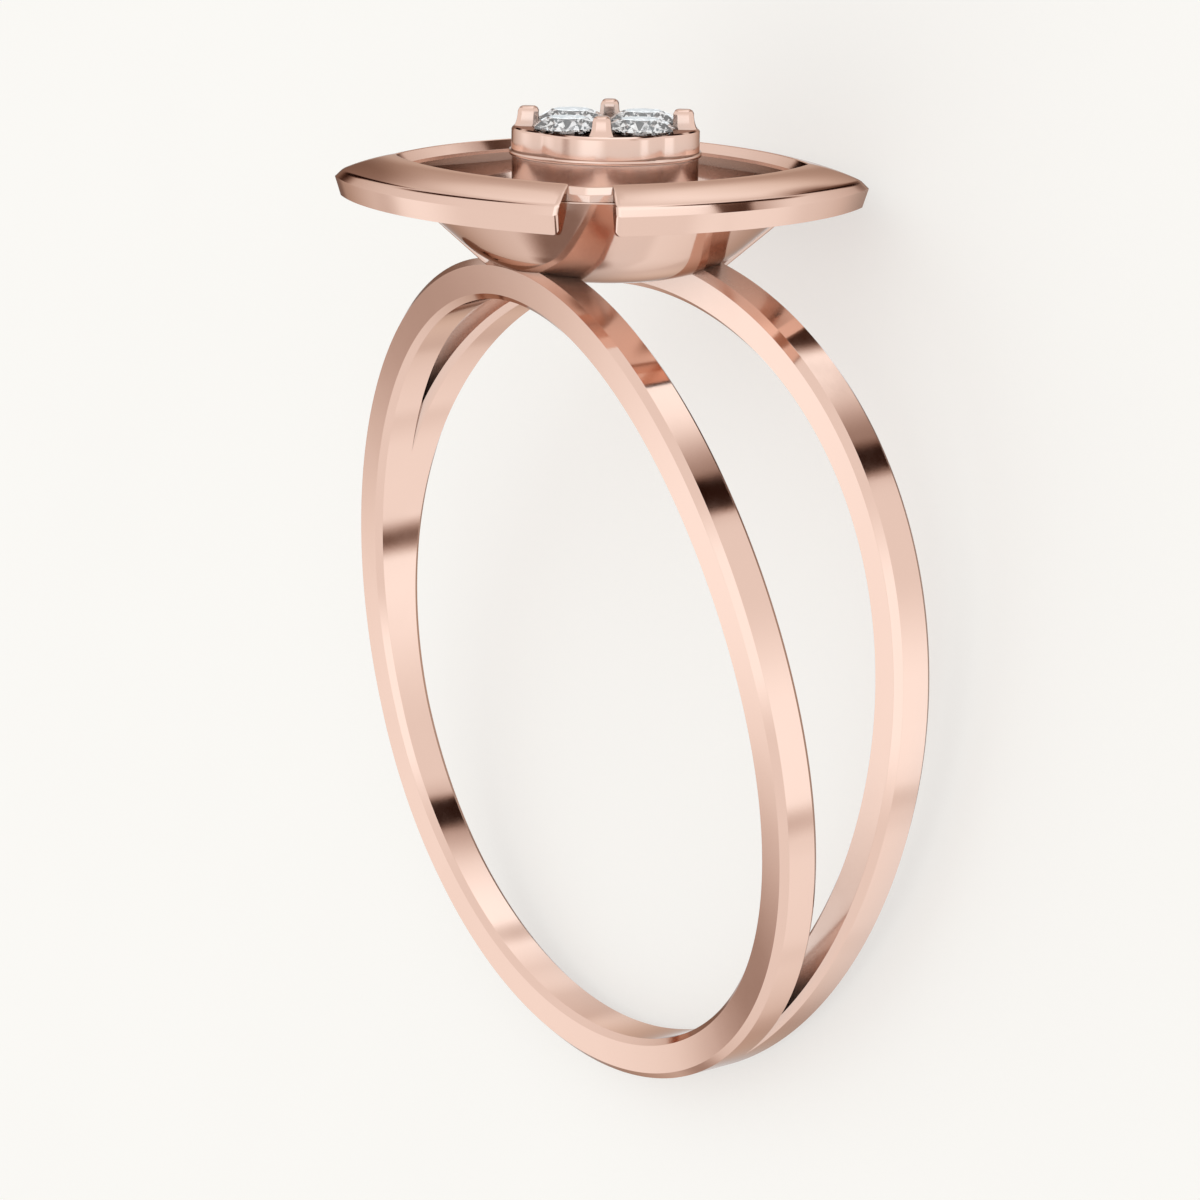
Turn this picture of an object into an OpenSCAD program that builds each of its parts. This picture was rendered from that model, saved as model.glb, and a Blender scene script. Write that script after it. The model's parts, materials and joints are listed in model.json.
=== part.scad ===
// Split shank ring with a cushion-shaped dish head and a cluster of four round stones.
// Everything is drawn with the finger hole along Y and the head up along Z, then the whole
// ring is laid back on its side, the way it rests on a table. Millimetres.

/* [Finger size] */
// Inner diameter of the shank
finger_hole_d = 17.3; // [15:0.1:21]

/* [Shank] */
// Radial thickness of the strands
shank_t = 0.93; // [0.8:0.01:1.2]
// Width of one strand along the finger
strand_w = 0.97; // [0.8:0.01:1.2]
// Offset of a strand's centre line from the middle, where the strands are widest apart
split_wide = 2.12; // [1.7:0.01:2.4]
// The same offset half way between the joined side and the wide side
split_mid = 0.6; // [0.5:0.01:0.75]
// Direction of the wide side, measured from +X towards the head
split_angle = 45; // [35:1:55]

/* [Head] */
// Turn of the head about its own axis
head_turn = 7.7; // [0:0.1:12]
// Lean of the head towards the back of the ring
head_lean = 3.5; // [0:0.1:5]
// Height above the shank of the line about which the head leans
head_lean_rise = 1.42; // [1.2:0.01:1.6]
// Shift of the head along the ring's width
head_shift_x = 0.2; // [0:0.01:0.4]
// Shift of the head towards the back of the ring
head_shift_y = 0.33; // [0:0.01:0.5]

/* [Cushion rim] */
// Distance from the head's axis to the ridge in the middle of a side
rim_reach = 4.06; // [3.8:0.01:4.4]
// Distance by which each side's arc centre lies beyond the head's axis
rim_bow = 3; // [2.5:0.1:3.5]
// Height of the ridge above the top of the shank
rim_height = 2.06; // [1.9:0.01:2.3]
// Width of the sloping face, from the ridge to the crease
rim_slope_w = 1.13; // [1:0.01:1.2]
// Drop of the sloping face, from the ridge to the crease
rim_slope_drop = 0.355; // [0.3:0.005:0.4]
// Width of the bevel outside the crease
rim_bevel_w = 0.17; // [0.1:0.01:0.22]
// Drop of the bevel outside the crease
rim_bevel_drop = 0.155; // [0.1:0.005:0.2]
// Height of the rim's outer wall under the bevel
rim_wall_h = 0.44; // [0.35:0.01:0.5]
// Amount by which the outer wall slants back in towards its foot
rim_undercut = 0.13; // [0.05:0.01:0.2]
// Height of the rim's upright inner face
rim_inner_h = 0.08; // [0.05:0.01:0.4]
// Bevel between the ridge and the upright inner face
rim_inner_bevel = 0.2; // [0.03:0.01:0.25]
// Width of the rim's underside
rim_under_w = 0.45; // [0.35:0.01:0.55]
// Height by which the underside falls towards the dish
rim_under_drop = 0.05; // [0.02:0.01:0.1]

/* [Notch] */
// Width of the notch at the rim's outer corner
notch_w = 1.36; // [1:0.01:1.6]
// Width of the notch at its back curb
notch_back_w = 1.0; // [0.8:0.01:1.2]
// Thickness of the curb that closes the notch at its back
notch_curb_t = 0.22; // [0.15:0.01:0.3]

/* [Dish] */
// Depth by which the dish's floor sinks between the strands
dish_sink = 0.53; // [0.45:0.01:0.6]
// Radius of the flat under the dish's floor
dish_flat_r = 1.1; // [0.8:0.05:1.4]
// Radius at which the dish's side, drawn on as a straight line, meets its floor
dish_knee_r = 2.33; // [2.1:0.01:2.5]
// Distance by which the dish's outer edge lies outside the ridge's corners
dish_lip_out = 0.34; // [0.3:0.01:0.4]
// Wall of the dish
dish_wall = 0.35; // [0.25:0.01:0.45]
// Height of the dish's inner floor above the top of the strands
dish_floor_rise = 0.12; // [0.08:0.01:0.25]

/* [Corner ribs] */
// Width of the rib that runs down the dish at its left and right corners
rib_w = 0.3; // [0.2:0.01:0.4]
// Height by which a rib stands off the dish
rib_stand = 0.13; // [0.1:0.01:0.2]
// Height of the rib's lower end above the top of the shank
rib_low_rise = 0.05; // [0.02:0.01:0.1]
// Height of the slope at the rib's lower end
rib_end_h = 0.06; // [0.03:0.01:0.1]

/* [Setting] */
// Reach of the four lobes of the setting
cup_r = 2.1; // [2.05:0.01:2.2]
// Distance from the setting's axis to the centre of a lobe's arc
lobe_offset = 0.55; // [0.35:0.01:0.6]
// Height of the setting's side wall
cup_h = 0.51; // [0.45:0.01:0.6]
// Thickness of the lip under the side wall
cup_lip_h = 0.11; // [0.08:0.01:0.15]
// Amount by which the round lip stands out past the lobes
cup_lip_out = 0.05; // [0.02:0.01:0.08]
// Height of the setting's top face above the rim's ridge
cup_rise = 0.72; // [0.65:0.01:0.8]
// Radius of the round post under the lip, which stands on the dish's floor
post_r = 2.08; // [1.95:0.01:2.1]
// Shift of the dish and the setting towards the right corner of the rim
cup_shift = 0.08; // [0:0.01:0.1]

/* [Prongs] */
// Distance from the setting's axis to a prong's outer face
prong_reach = 1.96; // [1.92:0.01:2]
// Width of a prong
prong_w = 0.42; // [0.38:0.01:0.46]
// Thickness of a prong, from its outer face towards the setting's axis
prong_depth = 0.55; // [0.5:0.01:0.6]
// Height of a prong above the setting's top face
prong_h = 0.43; // [0.38:0.01:0.5]
// Bevel along the top edges of a prong
prong_bevel = 0.07; // [0.04:0.01:0.1]
// Amount by which a prong widens outwards before it flares into the wall
prong_swell = 0.03; // [0.01:0.005:0.05]
// Height of the flare above and below the setting's top face
prong_flare_h = 0.1; // [0.05:0.01:0.15]
// Depth by which a prong's root goes down into the setting
prong_root = 0.2; // [0.15:0.01:0.25]

/* [Stones] */
// Diameter of a stone
stone_d = 1.55; // [1.4:0.01:1.56]
// Distance from the setting's axis to a stone's centre
stone_ring_r = 1.13; // [1.12:0.01:1.16]
// Height of the girdle's foot above the setting's top face
girdle_rise = 0.05; // [0.03:0.01:0.08]
// Table width as a share of the diameter
table_share = 0.57; // [0.52:0.01:0.62]
// Height of the crown above the girdle
crown_h = 0.2; // [0.16:0.01:0.24]
// Height of the girdle
girdle_h = 0.04; // [0.03:0.01:0.06]
// Depth of the pavilion below the girdle
pavilion_h = 0.64; // [0.58:0.01:0.66]
// Radius of the inner ends of the lower girdle facets as a share of the stone's radius
lower_share = 0.24; // [0.2:0.01:0.3]
// Gap between a stone and its metal seat
stone_gap = 0.02; // [0.01:0.005:0.03]

/* [Hidden] */
$fn = 96;
sliver = 0.01;
bend_steps = 6;

// Shank: each strand's centre line is one arc in the plan that looks along the split,
// from the joined side (offset 0) through split_mid to split_wide.
shank_in_r = finger_hole_d / 2;
shank_out_r = shank_in_r + shank_t;
shank_mid_r = (shank_in_r + shank_out_r) / 2;
curve = (split_wide - 2 * split_mid) / (2 * shank_mid_r * shank_mid_r);
slope = split_wide / (2 * shank_mid_r);
arc_r = pow(1 + slope * slope, 1.5) / (2 * curve);
arc_u = -slope / (2 * curve);
arc_v = split_mid + (arc_u * slope) / 2 + arc_r;

// Head heights, measured from the middle of the finger hole
head_base = shank_out_r;
lean_z = head_base + head_lean_rise;
rim_top = head_base + rim_height;
rim_crease_z = rim_top - rim_slope_drop;
rim_wide_z = rim_crease_z - rim_bevel_drop;
rim_foot_z = rim_wide_z - rim_wall_h;
rim_in_z = rim_top - rim_inner_bevel - rim_inner_h;

// Rim: distances from a side's arc centre
rim_ridge_r = rim_reach + rim_bow;
rim_in_r = rim_ridge_r - rim_inner_bevel;
rim_crease_r = rim_ridge_r + rim_slope_w;
rim_wide_r = rim_crease_r + rim_bevel_w;
rim_foot_r = rim_wide_r - rim_undercut;
function corner_r(r) = (-rim_bow + sqrt(2 * r * r - rim_bow * rim_bow)) / sqrt(2);
rim_span = 2 * rim_wide_r;

// Dish: its floor bends up into a side that runs straight to a point inside the rim
dish_floor_z = head_base - dish_sink;
dish_inner_z = head_base + dish_floor_rise;
dish_lip_z = rim_in_z;
dish_lip_r = corner_r(rim_ridge_r) + dish_lip_out;
dish_run = (dish_lip_r - dish_knee_r) / (dish_lip_z - dish_floor_z);
dish_bend = dish_knee_r - dish_flat_r;

// Setting
cup_top = rim_top + cup_rise;
cup_foot = cup_top - cup_h;
lobe_r = cup_r - lobe_offset;
girdle_z = cup_top + girdle_rise;
prong_top = cup_top + prong_h;

// A point of the dish's outline where its floor bends up into its side, t from 0 to 1
function bend_end() = [dish_knee_r, dish_floor_z] + dish_bend * [dish_run, 1] / norm([dish_run, 1]);
function bend_at(t) = pow(1 - t, 2) * [dish_flat_r, dish_floor_z]
  + 2 * t * (1 - t) * [dish_knee_r, dish_floor_z] + t * t * bend_end();

// Outer radius of the dish's side at height z
function dish_side_r(z) = dish_knee_r + dish_run * (z - dish_floor_z);

// How far the ring tips when it lies on its back: it touches the table with the foot of the
// shank and with the widest edge of the rim's back side.
touch_u = -shank_mid_r * sin(split_angle);
shank_touch_y = strand_w / 2 + arc_v - sqrt(arc_r * arc_r - pow(touch_u - arc_u, 2));
rim_side_y = rim_wide_r - rim_bow * cos(head_turn);
rim_side_z = rim_wide_z - lean_z;
rim_touch_y = rim_side_y * cos(head_lean) + rim_side_z * sin(head_lean) + head_shift_y;
rim_touch_z = lean_z - rim_side_y * sin(head_lean) + rim_side_z * cos(head_lean);
rest_tilt = atan((rim_touch_y - shank_touch_y) / (rim_touch_z + shank_out_r));

// Lays the upright ring on its back
module lying() {
  rotate([rest_tilt - 90, 0, 0]) children();
}

// Puts a piece drawn about the head's own axis where the head sits on the shank
module on_head() {
  translate([head_shift_x, head_shift_y, lean_z]) rotate([-head_lean, 0, 0])
    translate([0, 0, -lean_z]) rotate([0, 0, head_turn]) children();
}

// Puts a piece of the dish or the setting on their common axis
module on_setting() {
  translate([cup_shift / sqrt(2), cup_shift / sqrt(2), 0]) children();
}

// Plan of what lies outside the two large circles of radius r that the strands' edges follow
module outside_arcs(r) {
  difference() {
    square(4 * shank_out_r, center = true);
    for (side = [-1, 1])
      translate([arc_u, side * arc_v]) circle(r = r, $fn = 360);
  }
}

// The two strands: one band at the joined side that parts in a narrow V and bows open
module strands() {
  intersection() {
    rotate([90, 0, 0]) difference() {
      cylinder(h = 4 * shank_out_r, r = shank_out_r, center = true);
      cylinder(h = 5 * shank_out_r, r = shank_in_r, center = true);
    }
    rotate([0, -split_angle, 0]) linear_extrude(height = 3 * shank_out_r, center = true) difference() {
      outside_arcs(arc_r - strand_w / 2);
      intersection() {
        outside_arcs(arc_r + strand_w / 2);
        translate([-shank_in_r / 2, -2 * shank_out_r]) square(4 * shank_out_r);
      }
    }
  }
}

// Section of the rim: ridge, sloping face, crease, bevel, slanted wall and hidden underside
module rim_section() {
  polygon([
    [rim_in_r, rim_in_z],
    [rim_in_r, rim_top - rim_inner_bevel],
    [rim_ridge_r, rim_top],
    [rim_crease_r, rim_crease_z],
    [rim_wide_r, rim_wide_z],
    [rim_foot_r, rim_foot_z],
    [rim_foot_r - rim_under_w, rim_foot_z - rim_under_drop]
  ]);
}

// One bowed side of the rim, facing -Y, mitred to its neighbours on the diagonals
module rim_side() {
  intersection() {
    translate([0, rim_bow, 0]) rotate_extrude($fn = 180) rim_section();
    translate([0, 0, rim_foot_z - 1]) linear_extrude(height = rim_height + 2)
      polygon([[0, 0], [-rim_span, -rim_span], [rim_span, -rim_span]]);
  }
}

// The notch in the rim's front corner: it leaves a low curb at its back
module notch() {
  back = corner_r(rim_ridge_r) + notch_curb_t;
  front = corner_r(rim_wide_r);
  flare = (notch_w - notch_back_w) / (front - back);
  far_w = notch_back_w + flare * (front + 1 - back);
  rotate([0, 0, -45]) translate([0, 0, rim_foot_z - 0.5]) linear_extrude(height = rim_height + 1)
    polygon([
      [back, -notch_back_w / 2],
      [front + 1, -far_w / 2],
      [front + 1, far_w / 2],
      [back, notch_back_w / 2]
    ]);
}

module cushion_rim() {
  difference() {
    union() {
      for (side = [0:3])
        rotate([0, 0, 90 * side]) rim_side();
    }
    notch();
  }
}

// The dish: a spun bowl whose floor bends up into a straight side
module dish() {
  slant = dish_wall * norm([dish_run, 1]);
  rotate_extrude($fn = 180) polygon(concat(
    [[0, dish_floor_z]],
    [for (i = [0:bend_steps]) bend_at(i / bend_steps)],
    [[dish_lip_r, dish_lip_z]],
    [[dish_lip_r - slant, dish_lip_z]],
    [[dish_side_r(dish_inner_z) - slant, dish_inner_z]],
    [[0, dish_inner_z]]
  ));
}

// A thin rib that runs down the outside of the dish at the left and right corners
module corner_rib() {
  sunk = dish_wall / 3;
  low_z = head_base + rib_low_rise;
  high_z = rim_foot_z + sunk;
  translate([0, rib_w / 2, 0]) rotate([90, 0, 0]) linear_extrude(height = rib_w) polygon([
    [dish_side_r(low_z) - sunk, low_z],
    [dish_side_r(low_z) + rib_stand, low_z + rib_end_h],
    [dish_side_r(high_z) + rib_stand, high_z],
    [dish_side_r(high_z) - sunk, high_z]
  ]);
}

// Plan of the setting: four shallow lobes that meet in cusps between the prongs
module lobed_plan() {
  for (k = [0:3])
    rotate([0, 0, 45 + 90 * k]) translate([lobe_offset, 0]) circle(r = lobe_r);
}

// One prong: an upright bar with bevelled top edges that flares into the setting's wall
module prong() {
  inner = prong_reach - prong_depth;
  root_z = cup_top - prong_root;
  wall_r = cup_r - 2 * sliver;
  intersection() {
    translate([0, prong_w / 2, 0]) rotate([90, 0, 0]) linear_extrude(height = prong_w) polygon([
      [inner, root_z],
      [inner, prong_top - prong_bevel],
      [inner + prong_bevel, prong_top],
      [prong_reach - prong_bevel, prong_top],
      [prong_reach, prong_top - prong_bevel],
      [prong_reach + prong_swell, cup_top + prong_flare_h],
      [wall_r, cup_top - prong_flare_h],
      [wall_r, root_z]
    ]);
    rotate([90, 0, 90]) linear_extrude(height = 2 * cup_r) polygon([
      [-prong_w / 2, root_z - sliver],
      [-prong_w / 2, prong_top - prong_bevel],
      [-prong_w / 2 + prong_bevel, prong_top],
      [prong_w / 2 - prong_bevel, prong_top],
      [prong_w / 2, prong_top - prong_bevel],
      [prong_w / 2, root_z - sliver]
    ]);
  }
}

// Room for one stone, cut into the setting and its post: a cone seat below the girdle and
// a straight wall above it
module stone_seat() {
  seat_r = stone_d / 2 + stone_gap;
  seat_h = pavilion_h * seat_r / (stone_d / 2);
  translate([stone_ring_r, 0, girdle_z - seat_h]) cylinder(h = seat_h, r1 = 0, r2 = seat_r);
  translate([stone_ring_r, 0, girdle_z - sliver]) cylinder(h = 1, r = seat_r);
}

// The setting: lobed cup on a round lip and a round post, with four prongs and four stone seats
module setting() {
  difference() {
    union() {
      translate([0, 0, cup_foot]) linear_extrude(height = cup_h) lobed_plan();
      translate([0, 0, cup_foot - cup_lip_h]) cylinder(h = cup_lip_h + sliver, r = cup_r + cup_lip_out);
      translate([0, 0, head_base]) cylinder(h = cup_foot - cup_lip_h / 2 - head_base, r = post_r);
      for (k = [0:3])
        rotate([0, 0, 45 + 90 * k]) prong();
    }
    for (k = [0:3])
      rotate([0, 0, 90 * k]) stone_seat();
  }
}

// All the metal is soldered into one body
module ring_body() {
  color([0.87, 0.62, 0.50]) lying() union() {
    strands();
    on_head() union() {
      cushion_rim();
      on_setting() union() {
        dish();
        for (corner = [45, 225])
          rotate([0, 0, corner]) corner_rib();
        setting();
      }
    }
  }
}

// Corner points of a round brilliant: radius, height and first angle of each ring of eight
function brilliant_rings() =
  let (
    r = stone_d / 2,
    table_r = table_share * r,
    kite_r = (table_r * cos(22.5) + r) / 2 / cos(22.5),
    kite_z = crown_h * (r - kite_r * cos(22.5)) / (r - table_r),
    lower_r = lower_share * r,
    lower_z = -girdle_h - pavilion_h * (r - lower_r * cos(22.5)) / r
  )
  [[table_r, crown_h, 0], [kite_r, kite_z, 22.5], [r, 0, 0], [r, 0, 22.5],
   [r, -girdle_h, 0], [r, -girdle_h, 22.5], [lower_r, lower_z, 22.5]];
function ring_point(ring, k) =
  let (a = ring[2] + 45 * k) [ring[0] * cos(a), ring[0] * sin(a), ring[1]];
// Index of point k of a ring, counted round
function at(ring, k) = 8 * ring + (k + 8) % 8;

// A round brilliant about its own axis, with the top of its girdle at z = 0
module brilliant() {
  culet = 56;
  points = concat(
    [for (ring = brilliant_rings()) for (k = [0:7]) ring_point(ring, k)],
    [[0, 0, -girdle_h - pavilion_h]]
  );
  table = [[for (k = [7:-1:0]) at(0, k)]];
  around = [for (k = [0:7]) each [
    [at(0, k), at(0, k + 1), at(1, k)],
    [at(0, k), at(1, k), at(2, k), at(1, k - 1)],
    [at(1, k), at(3, k), at(2, k)],
    [at(1, k), at(2, k + 1), at(3, k)],
    [at(2, k), at(3, k), at(5, k), at(4, k)],
    [at(3, k), at(2, k + 1), at(4, k + 1), at(5, k)],
    [at(4, k), at(5, k), at(6, k)],
    [at(5, k), at(4, k + 1), at(6, k)],
    [at(4, k), at(6, k), culet, at(6, k - 1)]
  ]];
  polyhedron(points = points, faces = concat(table, around));
}

// One stone in its seat; turn is its direction from the setting's axis
module stone(turn) {
  color([0.93, 0.95, 0.97]) lying() on_head() on_setting() rotate([0, 0, turn])
    translate([stone_ring_r, 0, girdle_z + girdle_h]) brilliant();
}

module stone_front() { stone(-90); }
module stone_right() { stone(0); }
module stone_back() { stone(90); }
module stone_left() { stone(180); }

ring_body();
stone_front();
stone_right();
stone_back();
stone_left();
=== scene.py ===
"""Split shank ring in rose gold with a cushion dish head and a cluster of four brilliants.

Every piece is worked out in the upright ring's own frame in millimetres (X across the ring,
Y along the finger, Z towards the head, origin in the middle of the finger hole) and then
laid on its back in the row's frame, in metres.
"""
import json
import math

import bpy
import numpy as np
from mathutils import Matrix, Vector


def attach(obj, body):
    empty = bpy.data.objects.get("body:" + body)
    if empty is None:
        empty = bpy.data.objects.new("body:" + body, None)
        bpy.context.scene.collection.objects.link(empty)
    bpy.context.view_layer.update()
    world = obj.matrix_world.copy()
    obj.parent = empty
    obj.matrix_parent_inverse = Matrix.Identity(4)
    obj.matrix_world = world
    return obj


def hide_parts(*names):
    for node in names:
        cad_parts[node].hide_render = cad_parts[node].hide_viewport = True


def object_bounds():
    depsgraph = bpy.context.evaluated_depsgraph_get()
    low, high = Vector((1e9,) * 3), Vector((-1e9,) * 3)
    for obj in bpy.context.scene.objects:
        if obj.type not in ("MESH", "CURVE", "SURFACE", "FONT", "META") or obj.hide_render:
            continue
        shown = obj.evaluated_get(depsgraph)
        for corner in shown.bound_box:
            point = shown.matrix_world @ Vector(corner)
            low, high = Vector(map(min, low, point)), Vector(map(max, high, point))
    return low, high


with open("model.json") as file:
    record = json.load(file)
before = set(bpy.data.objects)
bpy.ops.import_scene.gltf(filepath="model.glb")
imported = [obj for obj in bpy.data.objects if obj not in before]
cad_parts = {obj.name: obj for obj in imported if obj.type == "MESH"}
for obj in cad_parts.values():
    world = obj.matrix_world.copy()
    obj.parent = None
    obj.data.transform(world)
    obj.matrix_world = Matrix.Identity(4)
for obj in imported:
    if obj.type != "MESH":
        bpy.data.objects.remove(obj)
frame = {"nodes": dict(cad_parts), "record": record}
cad_box = [list(corner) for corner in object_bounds()]

# The ring lies on its back, so the upright frame is turned about X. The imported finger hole
# says by how much: its axis is the upright frame's -Y.
MM = 0.001
finger_hole = frame["record"]["mounts"][0]
finger_way = -np.array(finger_hole["axis"])
head_way = np.cross([1.0, 0.0, 0.0], finger_way)
LAY = np.array([[1.0, 0.0, 0.0], finger_way, head_way])


def laid(points):
    """Upright millimetres to row metres: p = x * (1, 0, 0) + y * finger_way + z * head_way."""
    return np.asarray(points, float) @ LAY * MM


# The camera stands in front of the ring's right shoulder, a little above it, about 105 mm away.
# Its place and lens come from the shank's edges in the photograph, taken as 1200 pixels square.
CAMERA_TURN = math.radians(56.202)
CAMERA_RISE = math.radians(15.266)
CAMERA_ROLL = math.radians(-1.970)
CAMERA_PAN = math.radians(-0.0254)
CAMERA_TILT = math.radians(0.7924)
CAMERA_AWAY = 105.3
LENS = 137.9

back = np.array([
    math.sin(CAMERA_TURN) * math.cos(CAMERA_RISE),
    -math.cos(CAMERA_TURN) * math.cos(CAMERA_RISE),
    math.sin(CAMERA_RISE),
])
right = np.array([math.cos(CAMERA_TURN), math.sin(CAMERA_TURN), 0.0])
ahead = -back
above = np.cross(right, ahead)
ahead, right = (
    ahead * math.cos(CAMERA_PAN) - right * math.sin(CAMERA_PAN),
    right * math.cos(CAMERA_PAN) + ahead * math.sin(CAMERA_PAN),
)
ahead, above = (
    ahead * math.cos(CAMERA_TILT) + above * math.sin(CAMERA_TILT),
    above * math.cos(CAMERA_TILT) - ahead * math.sin(CAMERA_TILT),
)
right, above = (
    right * math.cos(CAMERA_ROLL) + above * math.sin(CAMERA_ROLL),
    above * math.cos(CAMERA_ROLL) - right * math.sin(CAMERA_ROLL),
)
camera = bpy.data.objects.new("camera", bpy.data.cameras.new("camera"))
bpy.context.collection.objects.link(camera)
camera.data.lens = LENS
camera.data.clip_start = 0.001
camera.data.clip_end = 10
turned = np.stack([right, above, -ahead], axis=1)
placed = np.eye(4)
placed[:3, :3] = LAY.T @ turned
placed[:3, 3] = laid(back * CAMERA_AWAY)
camera.matrix_world = Matrix(placed.tolist())
bpy.context.scene.camera = camera
bpy.context.scene.view_settings.view_transform = "Standard"

# The floor is a plain sheet of warm white paper on a light table, level with the lowest point of
# the ring. The light through it keeps the shadows on it faint.
FLOOR_SIZE = 2.0
FLOOR_COLOUR = (0.505, 0.50, 0.48, 1)
FLOOR_CLOUD = (0.495, 0.49, 0.47, 1)
FLOOR_CLOUD_SIZE = 12 * MM
FLOOR_GLOW = (0.480, 0.475, 0.470, 1)


def plain_material(name):
    """A new node material and its Principled shader."""
    material = bpy.data.materials.new(name)
    material.use_nodes = True
    return material, material.node_tree.nodes["Principled BSDF"]


def noise(tree, size, detail):
    """A noise texture on Object coordinates whose features measure about size metres."""
    where = tree.nodes.new("ShaderNodeTexCoord")
    grain = tree.nodes.new("ShaderNodeTexNoise")
    grain.inputs["Scale"].default_value = 1 / size
    grain.inputs["Detail"].default_value = detail
    tree.links.new(where.outputs["Object"], grain.inputs["Vector"])
    return grain.outputs["Fac"]


def spread(tree, value, low, high, start=0.3, end=0.7):
    """Value from start to end carried over to low to high."""
    carried = tree.nodes.new("ShaderNodeMapRange")
    for socket, number in (("From Min", start), ("From Max", end), ("To Min", low), ("To Max", high)):
        carried.inputs[socket].default_value = number
    tree.links.new(value, carried.inputs["Value"])
    return carried.outputs["Result"]


def blend(tree, value, first, second):
    """Colour from first at 0 to second at 1."""
    mix = tree.nodes.new("ShaderNodeMix")
    mix.data_type = "RGBA"
    mix.inputs["A"].default_value = first
    mix.inputs["B"].default_value = second
    tree.links.new(value, mix.inputs["Factor"])
    return mix.outputs["Result"]


def mesh_object(name, points, faces):
    """Links a mesh object made of an (n, 3) array of row metres and a list of faces."""
    mesh = bpy.data.meshes.new(name)
    mesh.from_pydata(points.tolist(), [], faces)
    mesh.update()
    made = bpy.data.objects.new(name, mesh)
    bpy.context.collection.objects.link(made)
    return made


side = FLOOR_SIZE / 2
floor_z = cad_box[0][2]
floor_points = np.array([
    [-side, -side, floor_z], [side, -side, floor_z], [side, side, floor_z], [-side, side, floor_z],
])
floor = mesh_object("floor", floor_points, [(0, 1, 2, 3)])
floor_material, floor_shader = plain_material("warm_white_paper")
floor_tree = floor_material.node_tree
floor_clouds = spread(floor_tree, noise(floor_tree, FLOOR_CLOUD_SIZE, 4), 0.0, 1.0)
floor_colour = blend(floor_tree, floor_clouds, FLOOR_COLOUR, FLOOR_CLOUD)
floor_tree.links.new(floor_colour, floor_shader.inputs["Base Color"])
floor_shader.inputs["Roughness"].default_value = 0.9
floor_shader.inputs["Specular IOR Level"].default_value = 0.1
floor_shader.inputs["Emission Color"].default_value = FLOOR_GLOW
floor_shader.inputs["Emission Strength"].default_value = 1.0
floor.data.materials.append(floor_material)
floor.visible_glossy = False

# Soft studio light: a white dome with softboxes and dark flags all round, placed about the upright
# ring, whose reflections give the polished metal its tones. The dome is warm where it is dark.
DOME_LEVEL = 0.90
DOME_WARMTH = (0.80, 1.0, 1.10)
DOME_COLOUR = (0.95, 0.942, 0.92, 1)
# Each panel: direction round from the ring's +X and up towards the head, half widths round and
# up, all in degrees, then how soft its edge is and the share of the dome's level inside it
PANELS = [
    (169, -64, 10, 14, 0.40, 0.20),
    (109, -61, 20, 10, 0.30, 1.15),
    (65, -43, 24, 15, 0.35, 1.15),
    (138, -37, 12, 22, 1.00, 1.55),
    (29, -30, 14, 7, 0.70, 0.05),
    (199, -25, 13, 5, 1.00, 0.30),
    (221, -16, 24, 22, 0.85, 1.40),
    (199, -14, 14, 6, 0.95, 0.60),
    (35, -13, 11, 37, 0.70, 1.35),
    (225, -9, 6, 4, 0.55, 0.64),
    (135, -6, 14, 5, 0.90, 0.15),
    (259, 2, 17, 7, 0.40, 0.26),
    (145, 2, 10, 25, 0.30, 1.50),
    (164, 5, 13, 27, 0.30, 0.45),
    (303, 7, 32, 29, 0.55, 1.40),
    (124, 22, 6, 13, 0.60, 0.15),
    (131, 32, 7, 20, 0.70, 1.50),
    (156, 40, 6, 15, 0.55, 1.30),
    (48, 44, 12, 5, 0.45, 0.02),
    (66, 47, 60, 9, 1.00, 0.30),
    (88, 49, 13, 5, 0.35, 0.10),
    (97, 76, 29, 60, 0.70, 1.50),
    (168, 22, 5, 15, 0.45, 0.02),
    (179, 47, 8, 15, 0.45, 0.02),
    (119, 23, 5, 14, 0.45, 0.02),
    (105, 46, 8, 15, 0.45, 0.02),
]


def along(axis):
    """The share of the look direction that lies along an upright axis, a dot product."""
    dot = nodes.new("ShaderNodeVectorMath")
    dot.operation = "DOT_PRODUCT"
    dot.inputs[1].default_value = np.array(axis) @ LAY
    links.new(look.outputs["Generated"], dot.inputs[0])
    return dot.outputs["Value"]


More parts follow.
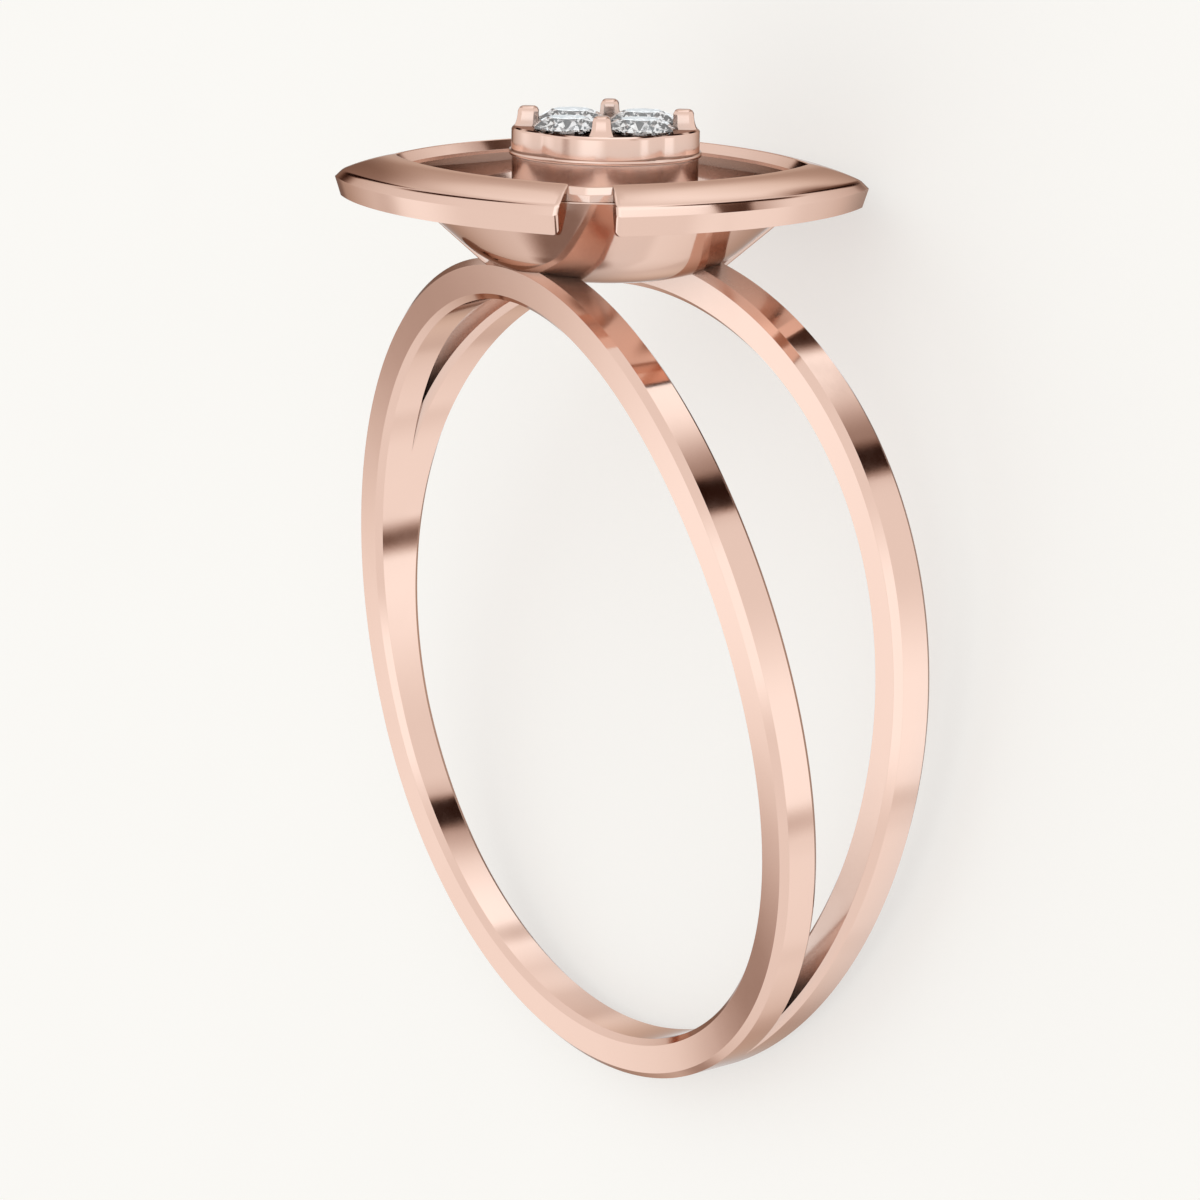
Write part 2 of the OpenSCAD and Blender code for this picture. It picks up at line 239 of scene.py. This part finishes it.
# A panel is the spot round its direction c where the look direction d, measured as d.t / sin w
# and d.u / sin h along t (round) and u (up) and as d.c, lies within 1 of (0, 0, 1).
world = bpy.data.worlds.new("studio")
world.use_nodes = True
nodes, links = world.node_tree.nodes, world.node_tree.links
look = nodes.new("ShaderNodeTexCoord")
level = None
for azimuth, height, wide, high, edge, inside in PANELS:
    a, e, w, h = (math.radians(number) for number in (azimuth, height, wide, high))
    cos_a, sin_a, cos_e, sin_e = math.cos(a), math.sin(a), math.cos(e), math.sin(e)
    centre = np.array([cos_e * cos_a, cos_e * sin_a, sin_e])
    round_way = np.array([-sin_a, cos_a, 0.0]) / math.sin(w)
    up_way = np.array([-sin_e * cos_a, -sin_e * sin_a, cos_e]) / math.sin(h)
    spot = nodes.new("ShaderNodeCombineXYZ")
    for axis, socket in zip((round_way, up_way, centre), ("X", "Y", "Z")):
        links.new(along(axis), spot.inputs[socket])
    reach = nodes.new("ShaderNodeVectorMath")
    reach.operation = "DISTANCE"
    reach.inputs[1].default_value = (0, 0, 1)
    links.new(spot.outputs["Vector"], reach.inputs[0])
    soft = nodes.new("ShaderNodeMapRange")
    soft.interpolation_type = "SMOOTHSTEP"
    soft.inputs["From Min"].default_value = 1.0
    soft.inputs["From Max"].default_value = 1.0 - edge
    soft.inputs["To Min"].default_value = 1.0
    soft.inputs["To Max"].default_value = inside
    links.new(reach.outputs["Value"], soft.inputs["Value"])
    times = nodes.new("ShaderNodeMath")
    times.operation = "MULTIPLY"
    times.inputs[0].default_value = DOME_LEVEL
    if level:
        links.new(level, times.inputs[0])
    links.new(soft.outputs["Result"], times.inputs[1])
    level = times.outputs["Value"]
tint = nodes.new("ShaderNodeCombineColor")
for channel, power in zip(("Red", "Green", "Blue"), DOME_WARMTH):
    raised = nodes.new("ShaderNodeMath")
    raised.operation = "POWER"
    links.new(level, raised.inputs[0])
    raised.inputs[1].default_value = power
    links.new(raised.outputs["Value"], tint.inputs[channel])

# The panels show in the polished metal. The dome alone lights the floor and shines through the
# stones.
mirrored = nodes.new("ShaderNodeBackground")
links.new(tint.outputs["Color"], mirrored.inputs["Color"])
nodes["Background"].inputs["Color"].default_value = DOME_COLOUR
ray = nodes.new("ShaderNodeLightPath")
light = nodes.new("ShaderNodeMixShader")
links.new(ray.outputs["Is Glossy Ray"], light.inputs["Fac"])
links.new(nodes["Background"].outputs["Background"], light.inputs[1])
links.new(mirrored.outputs["Background"], light.inputs[2])
links.new(light.outputs["Shader"], nodes["World Output"].inputs["Surface"])
bpy.context.scene.world = world

# Rose gold, cast and polished to a mirror: a warm pink alloy of gold and copper. Corners and
# recesses are painted browner by an ambient occlusion mask, as painted shade, and are rougher
# where the polishing wheel can't reach; faint waves and fine marks lie under the shine.
GOLD = (0.87, 0.625, 0.525, 1)
EDGE_TINT = (0.42, 0.32, 0.27, 1)
# Painted shade: the browner base colour that corners and recesses get from the ambient occlusion mask.
PAINTED_SHADE_GOLD = (0.66, 0.575, 0.535, 1)
RECESS_REACH = 2.4 * MM
SHADE_TO_OPEN = (0.15, 0.85)
DULL_TO_BRIGHT = (0.2, 0.8)
POLISH_GLOSS = (0.055, 0.10)
GLOSS_SIZE = 0.8 * MM
RECESS_DULLNESS = 0.22
WAVE_SIZE = 1.6 * MM
WAVE_HEIGHT = 0.0030 * MM
MARK_SIZE = 0.09 * MM
MARK_HEIGHT = 0.00012 * MM


def relief(tree, layers):
    """Bumps one over another, each a height value and its height in metres."""
    under = None
    for value, height in layers:
        bump = tree.nodes.new("ShaderNodeBump")
        bump.inputs["Distance"].default_value = height
        tree.links.new(value, bump.inputs["Height"])
        if under:
            tree.links.new(under, bump.inputs["Normal"])
        under = bump.outputs["Normal"]
    return under


rose_gold, gold_shader = plain_material("rose_gold")
gold_tree = rose_gold.node_tree
openness = gold_tree.nodes.new("ShaderNodeAmbientOcclusion")
openness.samples = 8
openness.inputs["Distance"].default_value = RECESS_REACH
# The ambient occlusion mask paints the base colour browner in corners and recesses: painted shade.
painted_recess_shade = spread(gold_tree, openness.outputs["AO"], 0.0, 1.0, *SHADE_TO_OPEN)
gold_tree.links.new(blend(gold_tree, painted_recess_shade, PAINTED_SHADE_GOLD, GOLD), gold_shader.inputs["Base Color"])
gloss = spread(gold_tree, noise(gold_tree, GLOSS_SIZE, 4), *POLISH_GLOSS)
dullness = spread(gold_tree, openness.outputs["AO"], RECESS_DULLNESS, 0.0, *DULL_TO_BRIGHT)
duller = gold_tree.nodes.new("ShaderNodeMath")
duller.operation = "ADD"
gold_tree.links.new(gloss, duller.inputs[0])
gold_tree.links.new(dullness, duller.inputs[1])
gold_tree.links.new(duller.outputs["Value"], gold_shader.inputs["Roughness"])
gold_shader.inputs["Metallic"].default_value = 1.0
gold_shader.inputs["Specular Tint"].default_value = EDGE_TINT
polished = relief(gold_tree, [
    (noise(gold_tree, WAVE_SIZE, 1), WAVE_HEIGHT), (noise(gold_tree, MARK_SIZE, 3), MARK_HEIGHT),
])
gold_tree.links.new(polished, gold_shader.inputs["Normal"])

WELD_REACH = 0.002 * MM
SHARP = math.radians(25)


def welded(made):
    """Joins the points of a mesh object that lie on each other."""
    weld = made.modifiers.new("weld", "WELD")
    weld.merge_threshold = WELD_REACH
    bpy.context.view_layer.objects.active = made
    bpy.ops.object.modifier_apply(modifier="weld")
    return made


def gold_piece(name, points, faces, edge=0.04):
    """A metal piece: quads in upright millimetres, welded, with edges rounded by edge mm."""
    made = welded(mesh_object(name, laid(points), faces))
    mesh = made.data
    mesh.shade_smooth()
    if edge:
        bevel = made.modifiers.new("rounded edges", "BEVEL")
        bevel.width = edge * MM
        bevel.segments = 2
        bevel.limit_method = "ANGLE"
        bevel.angle_limit = SHARP
        bevel.harden_normals = True
    else:
        mesh.set_sharp_from_angle(angle=SHARP)
    mesh.materials.append(rose_gold)
    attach(made, "root")
    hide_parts("ring_body")
    return made


def grid_faces(rows, columns, closed_rows=False, closed_columns=False):
    """Quads of a rows x columns grid of points numbered row by row, wrapped where closed."""
    i = np.arange(rows if closed_rows else rows - 1)
    j = np.arange(columns if closed_columns else columns - 1)
    i, j = np.meshgrid(i, j, indexing="ij")
    following, beside = (i + 1) % rows, (j + 1) % columns
    quads = np.stack([
        i * columns + j, i * columns + beside, following * columns + beside, following * columns + j,
    ], axis=-1)
    return quads.reshape(-1, 4)


# The shank is two square strands. They run as one band at the lower left, part in a narrow V
# and bow open towards the upper right. Each long edge has a chamfer.
HOLE_R = finger_hole["dims"]["r_mm"]
STRAND_T = 0.93
STRAND_W = 0.97
INNER_CHAMFER = 0.136
OUTER_CHAMFER = 0.15
SPLIT_WIDE = 2.12
SPLIT_MID = 0.6
SPLIT_ANGLE = math.radians(45)
STRAND_BOW = 0.075
STRAND_STEPS = 720


def strand_offset(angle):
    """Offset of a strand's centre line from the middle plane at an angle round the finger.

    A parabola in the distance u along the split, mid + slope u + curve u^2, plus a small
    bow -b cos(2a) sin(a) towards the head, where a is the angle from the wide side.
    """
    middle_r = HOLE_R + STRAND_T / 2
    from_wide = angle - SPLIT_ANGLE
    u = middle_r * np.cos(from_wide)
    curve = (SPLIT_WIDE - 2 * SPLIT_MID) / (2 * middle_r**2)
    offset = SPLIT_MID + SPLIT_WIDE / (2 * middle_r) * u + curve * u**2
    offset = offset - STRAND_BOW * np.cos(2 * from_wide) * np.sin(from_wide)
    return np.maximum(offset, 0.0)


def strand(side_way):
    """One strand's skin, cut off where it would cross the middle plane into its twin.

    The section's corners are (radius, offset) pairs; those past the middle plane slide back
    along their chamfer to it, so the two halves close on each other where they run together.
    """
    angle = np.linspace(0, 2 * np.pi, STRAND_STEPS, endpoint=False)
    offset = strand_offset(angle)
    half = STRAND_W / 2
    low, high = HOLE_R, HOLE_R + STRAND_T

    def facing(radius, chamfer, way):
        """The two inner-side corners of one chamfer, clipped at the middle plane."""
        flat_end = offset - (half - chamfer)
        side_face = offset - half
        left_over = (flat_end - np.maximum(side_face, 0)) / chamfer
        share = np.clip(np.where(flat_end > 0, left_over, 0), 0, 1)
        return [
            (np.full_like(angle, radius), np.maximum(flat_end, 0)),
            (radius - way * chamfer * share, np.maximum(side_face, 0)),
        ]

    outside = [
        (np.full_like(angle, high), offset + half - OUTER_CHAMFER),
        (np.full_like(angle, high - OUTER_CHAMFER), offset + half),
        (np.full_like(angle, low + INNER_CHAMFER), offset + half),
        (np.full_like(angle, low), offset + half - INNER_CHAMFER),
    ]
    corners = facing(high, OUTER_CHAMFER, 1)[::-1] + outside + facing(low, INNER_CHAMFER, -1)
    radius = np.stack([c[0] for c in corners], axis=1)
    away = side_way * np.stack([c[1] for c in corners], axis=1)
    turn = angle[:, None]
    points = np.stack([radius * np.cos(turn), away, radius * np.sin(turn)], axis=-1)
    faces = grid_faces(STRAND_STEPS, len(corners), True, True)
    touching = (offset <= half) & np.roll(offset <= half, -1)
    row, column = np.divmod(faces[:, 0], len(corners))
    faces = faces[~(touching[row] & (column == len(corners) - 1))]
    if side_way < 0:
        faces = faces[:, ::-1]
    return points.reshape(-1, 3), faces


front_points, front_faces = strand(-1)
back_points, back_faces = strand(1)
gold_piece(
    "strands",
    np.concatenate([front_points, back_points]),
    np.concatenate([front_faces, back_faces + len(front_points)]).tolist(),
)

# The head is one soldered block that sits a little turned and leaning on the strands. Its
# pieces are drawn about its own upright axis and put in place together.
HEAD_TURN = math.radians(7.7)
HEAD_LEAN = math.radians(-3.5)
HEAD_SHIFT = np.array([0.2, 0.33, 0.0])
LEAN_RISE = 1.42
LEAN_Z = HOLE_R + STRAND_T + LEAN_RISE


def on_head(points):
    """Turns points about Z by HEAD_TURN, leans them about X at LEAN_Z and shifts them."""
    x, y, z = np.moveaxis(np.asarray(points, float), -1, 0)
    cos_t, sin_t = math.cos(HEAD_TURN), math.sin(HEAD_TURN)
    x, y = x * cos_t - y * sin_t, x * sin_t + y * cos_t
    cos_l, sin_l = math.cos(HEAD_LEAN), math.sin(HEAD_LEAN)
    z = z - LEAN_Z
    y, z = y * cos_l - z * sin_l, y * sin_l + z * cos_l
    return np.stack([x, y, z + LEAN_Z], axis=-1) + HEAD_SHIFT


# The cushion rim is a heavy frame of four bowed bars mitred at the corners. Each bar has an
# inner bevel, a rounded ridge, a crowned slope, a crease, a bevel and a wall that slants under.
RIM_BOW = 3.0
RIM_SECTION = [
    (6.86, 11.36), (6.86, 11.44), (7.015, 11.597), (7.045, 11.627), (7.085, 11.64), (7.135, 11.633),
    (7.30, 11.600), (7.46, 11.559), (7.62, 11.512), (7.78, 11.459), (7.94, 11.399), (8.06, 11.349),
    (8.12, 11.322), (8.16, 11.301), (8.20, 11.273), (8.235, 11.240), (8.36, 11.115), (8.23, 10.69),
    (7.80, 10.63),
]
RIM_STEPS = 48


def corner_of(radius):
    """Distance along X and Y of an arc's mitre point: (-b + sqrt(2 r^2 - b^2)) / 2."""
    return (-RIM_BOW + np.sqrt(2 * radius**2 - RIM_BOW**2)) / 2


def rim_bar(quarter, section, start, end, steps=RIM_STEPS):
    """One bar: each section point carried along its arc from turn start to turn end.

    The arcs' centre lies RIM_BOW past the head's axis, so a point of radius r at turn t stands
    at x = r sin t, y = RIM_BOW - r cos t, and the bar is then turned by quarter.
    """
    radius, height = np.array(section).T
    turn = start + (end - start) * np.linspace(0, 1, steps)[:, None]
    x, y = radius * np.sin(turn), RIM_BOW - radius * np.cos(turn)
    z = np.broadcast_to(height, x.shape)
    cos_q, sin_q = math.cos(quarter), math.sin(quarter)
    return np.stack([x * cos_q - y * sin_q, x * sin_q + y * cos_q, z], axis=-1)


# The front corner is sawn out in a notch that widens outwards. Its end faces lie on the lines
# half width = NOTCH_HALF + NOTCH_FLARE * (distance from the head's axis - NOTCH_FROM).
NOTCH_FROM = 4.82
NOTCH_HALF = 0.50
NOTCH_FLARE = 0.1565


def notch_turn(radius):
    """Turn t where an arc meets the notch.

    (1 + k) sin t - (1 - k) cos t = -(b (1 - k) + sqrt2 (h - k u)) / r, with the notch's flare k,
    its half width h at the distance u, and the bow b.
    """
    k = NOTCH_FLARE
    reach = math.hypot(1 + k, 1 - k)
    pull = RIM_BOW * (1 - k) + math.sqrt(2) * (NOTCH_HALF - k * NOTCH_FROM)
    return math.atan2(1 - k, 1 + k) + np.arcsin(-pull / (reach * radius))


def chain(name, bars, edge=0.03):
    """Bars laid end to end as one closed tube of quads with a flat face on each end."""
    points = np.concatenate(bars)
    rows, columns = points.shape[:2]
    faces = grid_faces(rows, columns, False, True).tolist()
    faces += [list(range(columns)), [(rows - 1) * columns + j for j in range(columns)][::-1]]
    return gold_piece(name, on_head(points.reshape(-1, 3)), faces, edge)


# The sawn ends are rounded a little all round. END_HALF is half a bar's thickness.
END_ROUND = 0.09
END_HALF = 0.5
END_TURNS = (15, 40, 65, 90)


def rounded_end(quarter, section, end, inwards):
    """Rows that round a sawn end.

    At angle a the section is smaller by e (1 - sin a) all round and lies e (1 - cos a) behind
    the cut, with the rounding's radius e.
    """
    middle = np.mean(section, axis=0)
    rows = []
    for a in np.radians(END_TURNS):
        size = 1 - END_ROUND * (1 - math.sin(a)) / END_HALF
        shrunk = middle + (np.array(section) - middle) * size
        turn = end + inwards * END_ROUND * (1 - math.cos(a)) / middle[0]
        rows.append(rim_bar(quarter, shrunk, turn, turn, 1)[0])
    return np.array(rows)


section_r = np.array(RIM_SECTION)[:, 0]
mitre = np.arcsin(corner_of(section_r) / section_r)
sawn = notch_turn(section_r)
quarters = [math.radians(90) * k for k in range(4)]
short = sawn - END_ROUND / section_r
chain("cushion_rim", [
    rounded_end(quarters[1], RIM_SECTION, -sawn, 1),
    rim_bar(quarters[1], RIM_SECTION, -short, mitre),
    rim_bar(quarters[2], RIM_SECTION, -mitre, mitre),
    rim_bar(quarters[3], RIM_SECTION, -mitre, mitre),
    rim_bar(quarters[0], RIM_SECTION, -mitre, short),
    rounded_end(quarters[0], RIM_SECTION, sawn, -1)[::-1],
])

# A low curb closes the notch at its back, like a small copy of the bar.
CURB_SECTION = [
    (7.00, 11.30), (7.00, 11.55), (7.03, 11.585), (7.07, 11.60), (7.12, 11.592), (7.28, 11.45),
    (7.30, 11.29), (7.16, 11.20),
]
CURB_SINK = 0.02
curb_r = np.array(CURB_SECTION)[:, 0]
curb_mitre = np.arcsin(corner_of(curb_r) / curb_r)
curb_end = notch_turn(curb_r) - CURB_SINK
chain("notch_curb", [
    rim_bar(quarters[0], CURB_SECTION, curb_end, curb_mitre, 6),
    rim_bar(quarters[1], CURB_SECTION, -curb_mitre, -curb_end, 6),
], 0.012)

# The dish is a spun bowl with an even wall. Its mouth is soldered inside the rim and its
# floor sinks between the strands.
DISH_OUTSIDE = [(0.0, 9.05), (1.1, 9.05), (2.33, 9.05), (3.26, 9.85), (4.94, 11.30)]
DISH_WALL = 0.35
DISH_INNER_Z = 9.70
INNER_BEND_H = 0.4
INNER_BEND_W = 0.5
CUP_SHIFT = np.array([0.0566, 0.0566, 0.0])
SPUN_STEPS = 192


def spun(profile, steps=SPUN_STEPS):
    """A profile of (radius, z) rows turned about the Z axis; ends on the axis close as poles."""
    turn = np.linspace(0, 2 * np.pi, steps, endpoint=False)[:, None]
    radius, height = np.array(profile).T
    x, y = radius * np.cos(turn), radius * np.sin(turn)
    points = np.stack([x, y, np.broadcast_to(height, x.shape)], axis=-1).reshape(-1, 3)
    return points, grid_faces(steps, len(profile), True, False)[:, ::-1]


def bend(start, knee, end, count):
    """Points of the curve (1-t)^2 start + 2t(1-t) knee + t^2 end, without its first point."""
    t = np.linspace(0, 1, count + 1)[1:, None]
    start, knee, end = (np.array(p) for p in (start, knee, end))
    return [tuple(p) for p in (1 - t) ** 2 * start + 2 * t * (1 - t) * knee + t**2 * end]


middle, flat_end, knee, side_start, lip = DISH_OUTSIDE
slope = (lip[0] - side_start[0]) / (lip[1] - side_start[1])
wall_across = DISH_WALL * math.hypot(slope, 1)
inner_lip = (lip[0] - wall_across, lip[1])
inner_foot = (side_start[0] + slope * (DISH_INNER_Z - side_start[1]) - wall_across, DISH_INNER_Z)
inner_bend_end = (inner_foot[0] + slope * INNER_BEND_H, DISH_INNER_Z + INNER_BEND_H)
inner_flat_end = (inner_foot[0] - INNER_BEND_W, DISH_INNER_Z)
profile = [middle, flat_end] + bend(flat_end, knee, side_start, 16) + [lip, inner_lip]
profile += [inner_bend_end] + bend(inner_bend_end, inner_foot, inner_flat_end, 8) + [(0.0, DISH_INNER_Z)]
dish_points, dish_faces = spun(profile)
gold_piece("dish", on_head(dish_points + CUP_SHIFT), dish_faces.tolist())

# Two thin ribs run straight down the outside of the dish at its left and right corners, each
# round on top with a rounded lower end that stands off where the bowl bends in under it.
RIB_HALF = 0.15
RIB_STAND = 0.13
RIB_LOW = 9.14
RIB_HIGH = 10.74
RIB_SINK = 0.03
RIB_TIP = 0.35

# Rows run up the rib and columns across it: crown radius = line + stand * sqrt(1 - a^2) * rounding,
# where the rounding swells from 0 at the lower end. The outer columns drop to the bowl.
up = np.array([0.0, *np.linspace(0, 1, 48)])[:, None]
across = np.array([-1.0, *np.linspace(-1, 1, 11), 1.0])
rib_z = RIB_LOW + (RIB_HIGH - RIB_LOW) * up
rounding = np.sqrt(1 - (1 - np.clip(up * (RIB_HIGH - RIB_LOW) / RIB_HALF, 0, 1)) ** 2)
side_line = np.array(profile[: profile.index(lip) + 1])
bowl_r = np.interp(rib_z, side_line[1:, 1], side_line[1:, 0]) - RIB_SINK
crown_r = side_start[0] + slope * (rib_z - side_start[1])
rib_r = crown_r + RIB_STAND * np.sqrt(1 - across**2) * rounding
rib_r[:, [0, -1]] = bowl_r
rib_r[0] = bowl_r[0]
rib_v = RIB_HALF * across * (RIB_TIP + (1 - RIB_TIP) * rounding)
for corner, rib_name in ((225, "left_rib"), (45, "right_rib")):
    c, w = math.cos(math.radians(corner)), math.sin(math.radians(corner))
    rib = np.stack([rib_r * c - rib_v * w, rib_r * w + rib_v * c, rib_z + 0 * rib_v], axis=-1)
    rib_faces = grid_faces(*rib_r.shape)[:, ::-1].tolist()
    gold_piece(rib_name, on_head(rib.reshape(-1, 3) + CUP_SHIFT), rib_faces, 0)

# The setting is a raised cup of four shallow lobes on a thin round lip and a round post that
# stands on the dish's floor. The four stones' seats are drilled into its top.
CUP_TOP = 12.36
CUP_H = 0.51
CUP_LIP_H = 0.11
CUP_LIP_OUT = 0.05
CUP_R = 2.1
LOBE_OFFSET = 0.55
LOBE_SOFT = math.radians(1.5)
CUP_CORE = -1.1
CUP_SINK = 0.02
LIP_ROUNDING = [(0.03, 0.0), (0.008, 0.012), (0.0, 0.035)]
POST_R = 2.08
POST_FOOT = 9.6
POST_SINK = 0.05
STONE_AT = 1.13
SEAT_R = 0.795
SEAT_DEPTH = 0.6565
SEAT_RISE = 0.5
SEAT_STEPS = 64
GIRDLE_Z = 12.41


def lobed(turn, grow):
    """Outline of the cup: r = d cos t + sqrt(p^2 - d^2 sin^2 t) at angle t from the nearest prong.

    The cusps are softened: the angle u from a cusp counts as sqrt(u^2 + s^2).
    """
    from_cusp = np.pi / 4 - np.abs((turn % (np.pi / 2)) - np.pi / 4)
    from_prong = np.pi / 4 - np.sqrt(from_cusp**2 + LOBE_SOFT**2)
    lobe_r = CUP_R - LOBE_OFFSET + grow
    chord = np.sqrt(lobe_r**2 - (LOBE_OFFSET * np.sin(from_prong)) ** 2)
    return LOBE_OFFSET * np.cos(from_prong) + chord


def cut(whole, tools):
    """Takes the closed meshes tools away from the metal piece whole, before its edges are rounded."""
    for tool in tools:
        saw = whole.modifiers.new("cut", "BOOLEAN")
        saw.operation = "DIFFERENCE"
        saw.solver = "EXACT"
        saw.object = tool
        bpy.context.view_layer.objects.active = whole
        bpy.ops.object.modifier_move_to_index(modifier=saw.name, index=0)
        bpy.ops.object.modifier_apply(modifier=saw.name)
        bpy.data.objects.remove(tool)


cup_foot = CUP_TOP - CUP_H
lip_r = CUP_R + CUP_LIP_OUT
# Rows of (distance out from the plan, height), from the middle of the foot to the middle of the top
cup_rows = [
    (CUP_CORE, cup_foot - CUP_SINK), (0.0, cup_foot - CUP_SINK), (0.0, CUP_TOP - 0.07),
    (-0.02, CUP_TOP - 0.03), (-0.06, CUP_TOP), (CUP_CORE, CUP_TOP),
]
cup_turn = np.linspace(0, 2 * np.pi, SPUN_STEPS, endpoint=False)
cup_rings = []
for grow, height in cup_rows:
    x, y = lobed(cup_turn, grow) * np.cos(cup_turn), lobed(cup_turn, grow) * np.sin(cup_turn)
    cup_rings.append(np.stack([x, y, np.full_like(x, height)], axis=-1))
cup_points = np.stack(cup_rings, axis=1).reshape(-1, 3)
cup_faces = grid_faces(SPUN_STEPS, len(cup_rows), True, False)[:, ::-1].tolist()
foot_edge = [i * len(cup_rows) for i in range(SPUN_STEPS)]
cup_faces += [foot_edge[::-1], [i + len(cup_rows) - 1 for i in foot_edge]]
setting = gold_piece("setting", on_head(cup_points + CUP_SHIFT), cup_faces, 0)

lip_foot = cup_foot - CUP_LIP_H
lip_points, lip_faces = spun([
    (0.0, lip_foot),
    *((lip_r - inwards, lip_foot + up) for inwards, up in LIP_ROUNDING),
    *((lip_r - inwards, cup_foot - down) for inwards, down in LIP_ROUNDING[::-1]),
    (0.0, cup_foot),
])
lip_ring = gold_piece("lip", on_head(lip_points + CUP_SHIFT), lip_faces.tolist(), 0)

post_top = cup_foot - POST_SINK
post_points, post_faces = spun([(0.0, POST_FOOT), (POST_R, POST_FOOT), (POST_R, post_top), (0.0, post_top)])
post = gold_piece("post", on_head(post_points + CUP_SHIFT), post_faces.tolist(), 0)

seat_top = GIRDLE_Z + SEAT_RISE
seat_profile = [(0.0, GIRDLE_Z - SEAT_DEPTH), (SEAT_R, GIRDLE_Z), (SEAT_R, seat_top), (0.0, seat_top)]
for metal in (setting, lip_ring, post):
    tools = []
    for k in range(4):
        seat_points, seat_faces = spun(seat_profile, SEAT_STEPS)
        turn = math.radians(90 * k)
        at = CUP_SHIFT + STONE_AT * np.array([math.cos(turn), math.sin(turn), 0.0])
        tools.append(welded(mesh_object("seat", laid(on_head(seat_points + at)), seat_faces.tolist())))
    cut(metal, tools)

# The four prongs are short square bars on the cup's diagonals. Each flares into the wall at its
# foot and is bevelled round its small flat top.
PRONG_TOP = 12.79
PRONG_HALF = 0.20
PRONG_CHAMFER = 0.09
# Rows of (height, half width, inner and outer distance from the cup's axis)
PRONG_ROWS = [
    (CUP_TOP - 0.34, 0.300, 1.50, 2.085), (CUP_TOP - 0.16, 0.297, 1.50, 2.08),
    (CUP_TOP - 0.06, 0.290, 1.50, 2.055), (CUP_TOP + 0.00, 0.272, 1.50, 2.03),
    (CUP_TOP + 0.05, 0.248, 1.50, 2.005), (CUP_TOP + 0.11, 0.226, 1.50, 1.985),
    (CUP_TOP + 0.18, 0.212, 1.50, 1.97), (CUP_TOP + 0.26, 0.205, 1.50, 1.96),
    (PRONG_TOP - 0.10, 0.200, 1.50, 1.955), (PRONG_TOP - 0.035, 0.170, 1.53, 1.925),
    (PRONG_TOP, 0.115, 1.585, 1.865),
]

prong_points, prong_faces = [], []
for k in range(4):
    a = math.radians(45 + 90 * k)
    ring = []
    for height, half, inner, outer in PRONG_ROWS:
        c = PRONG_CHAMFER * half / PRONG_HALF
        ring.append([
            [inner, c - half, height], [inner + c, -half, height],
            [outer - c, -half, height], [outer, c - half, height],
            [outer, half - c, height], [outer - c, half, height],
            [inner + c, half, height], [inner, half - c, height],
        ])
    ring = np.array(ring).reshape(-1, 3)
    cos_a, sin_a = math.cos(a), math.sin(a)
    ring = ring @ np.array([[cos_a, sin_a, 0], [-sin_a, cos_a, 0], [0, 0, 1]])
    first = len(ring) * k
    top = first + 8 * (len(PRONG_ROWS) - 1)
    prong_points.append(ring)
    prong_faces += (grid_faces(len(PRONG_ROWS), 8, False, True) + first).tolist()
    prong_faces += [[first + 7 - j for j in range(8)], [top + j for j in range(8)]]
gold_piece("prongs", on_head(np.concatenate(prong_points) + CUP_SHIFT), prong_faces, 0.015)

# The stones are four clear round brilliants, cut and polished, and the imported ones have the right
# cut. They only get their material here.
DIAMOND_IOR = 2.417
DIAMOND_COLOUR = (0.97, 0.98, 1, 1)
DIAMOND_CLEAR = (1, 1, 1, 1)
DIAMOND_CLOUD_SIZE = 0.25 * MM

diamond, diamond_shader = plain_material("diamond")
diamond_tree = diamond.node_tree
clouds = spread(diamond_tree, noise(diamond_tree, DIAMOND_CLOUD_SIZE, 3), 0.0, 1.0)
clarity = blend(diamond_tree, clouds, DIAMOND_COLOUR, DIAMOND_CLEAR)
diamond_tree.links.new(clarity, diamond_shader.inputs["Base Color"])
diamond_shader.inputs["Roughness"].default_value = 0.0
diamond_shader.inputs["IOR"].default_value = DIAMOND_IOR
diamond_shader.inputs["Transmission Weight"].default_value = 1.0
for name in ("stone_front", "stone_right", "stone_back", "stone_left"):
    stone = frame["nodes"][name]
    for place in stone.material_slots:
        place.material = diamond
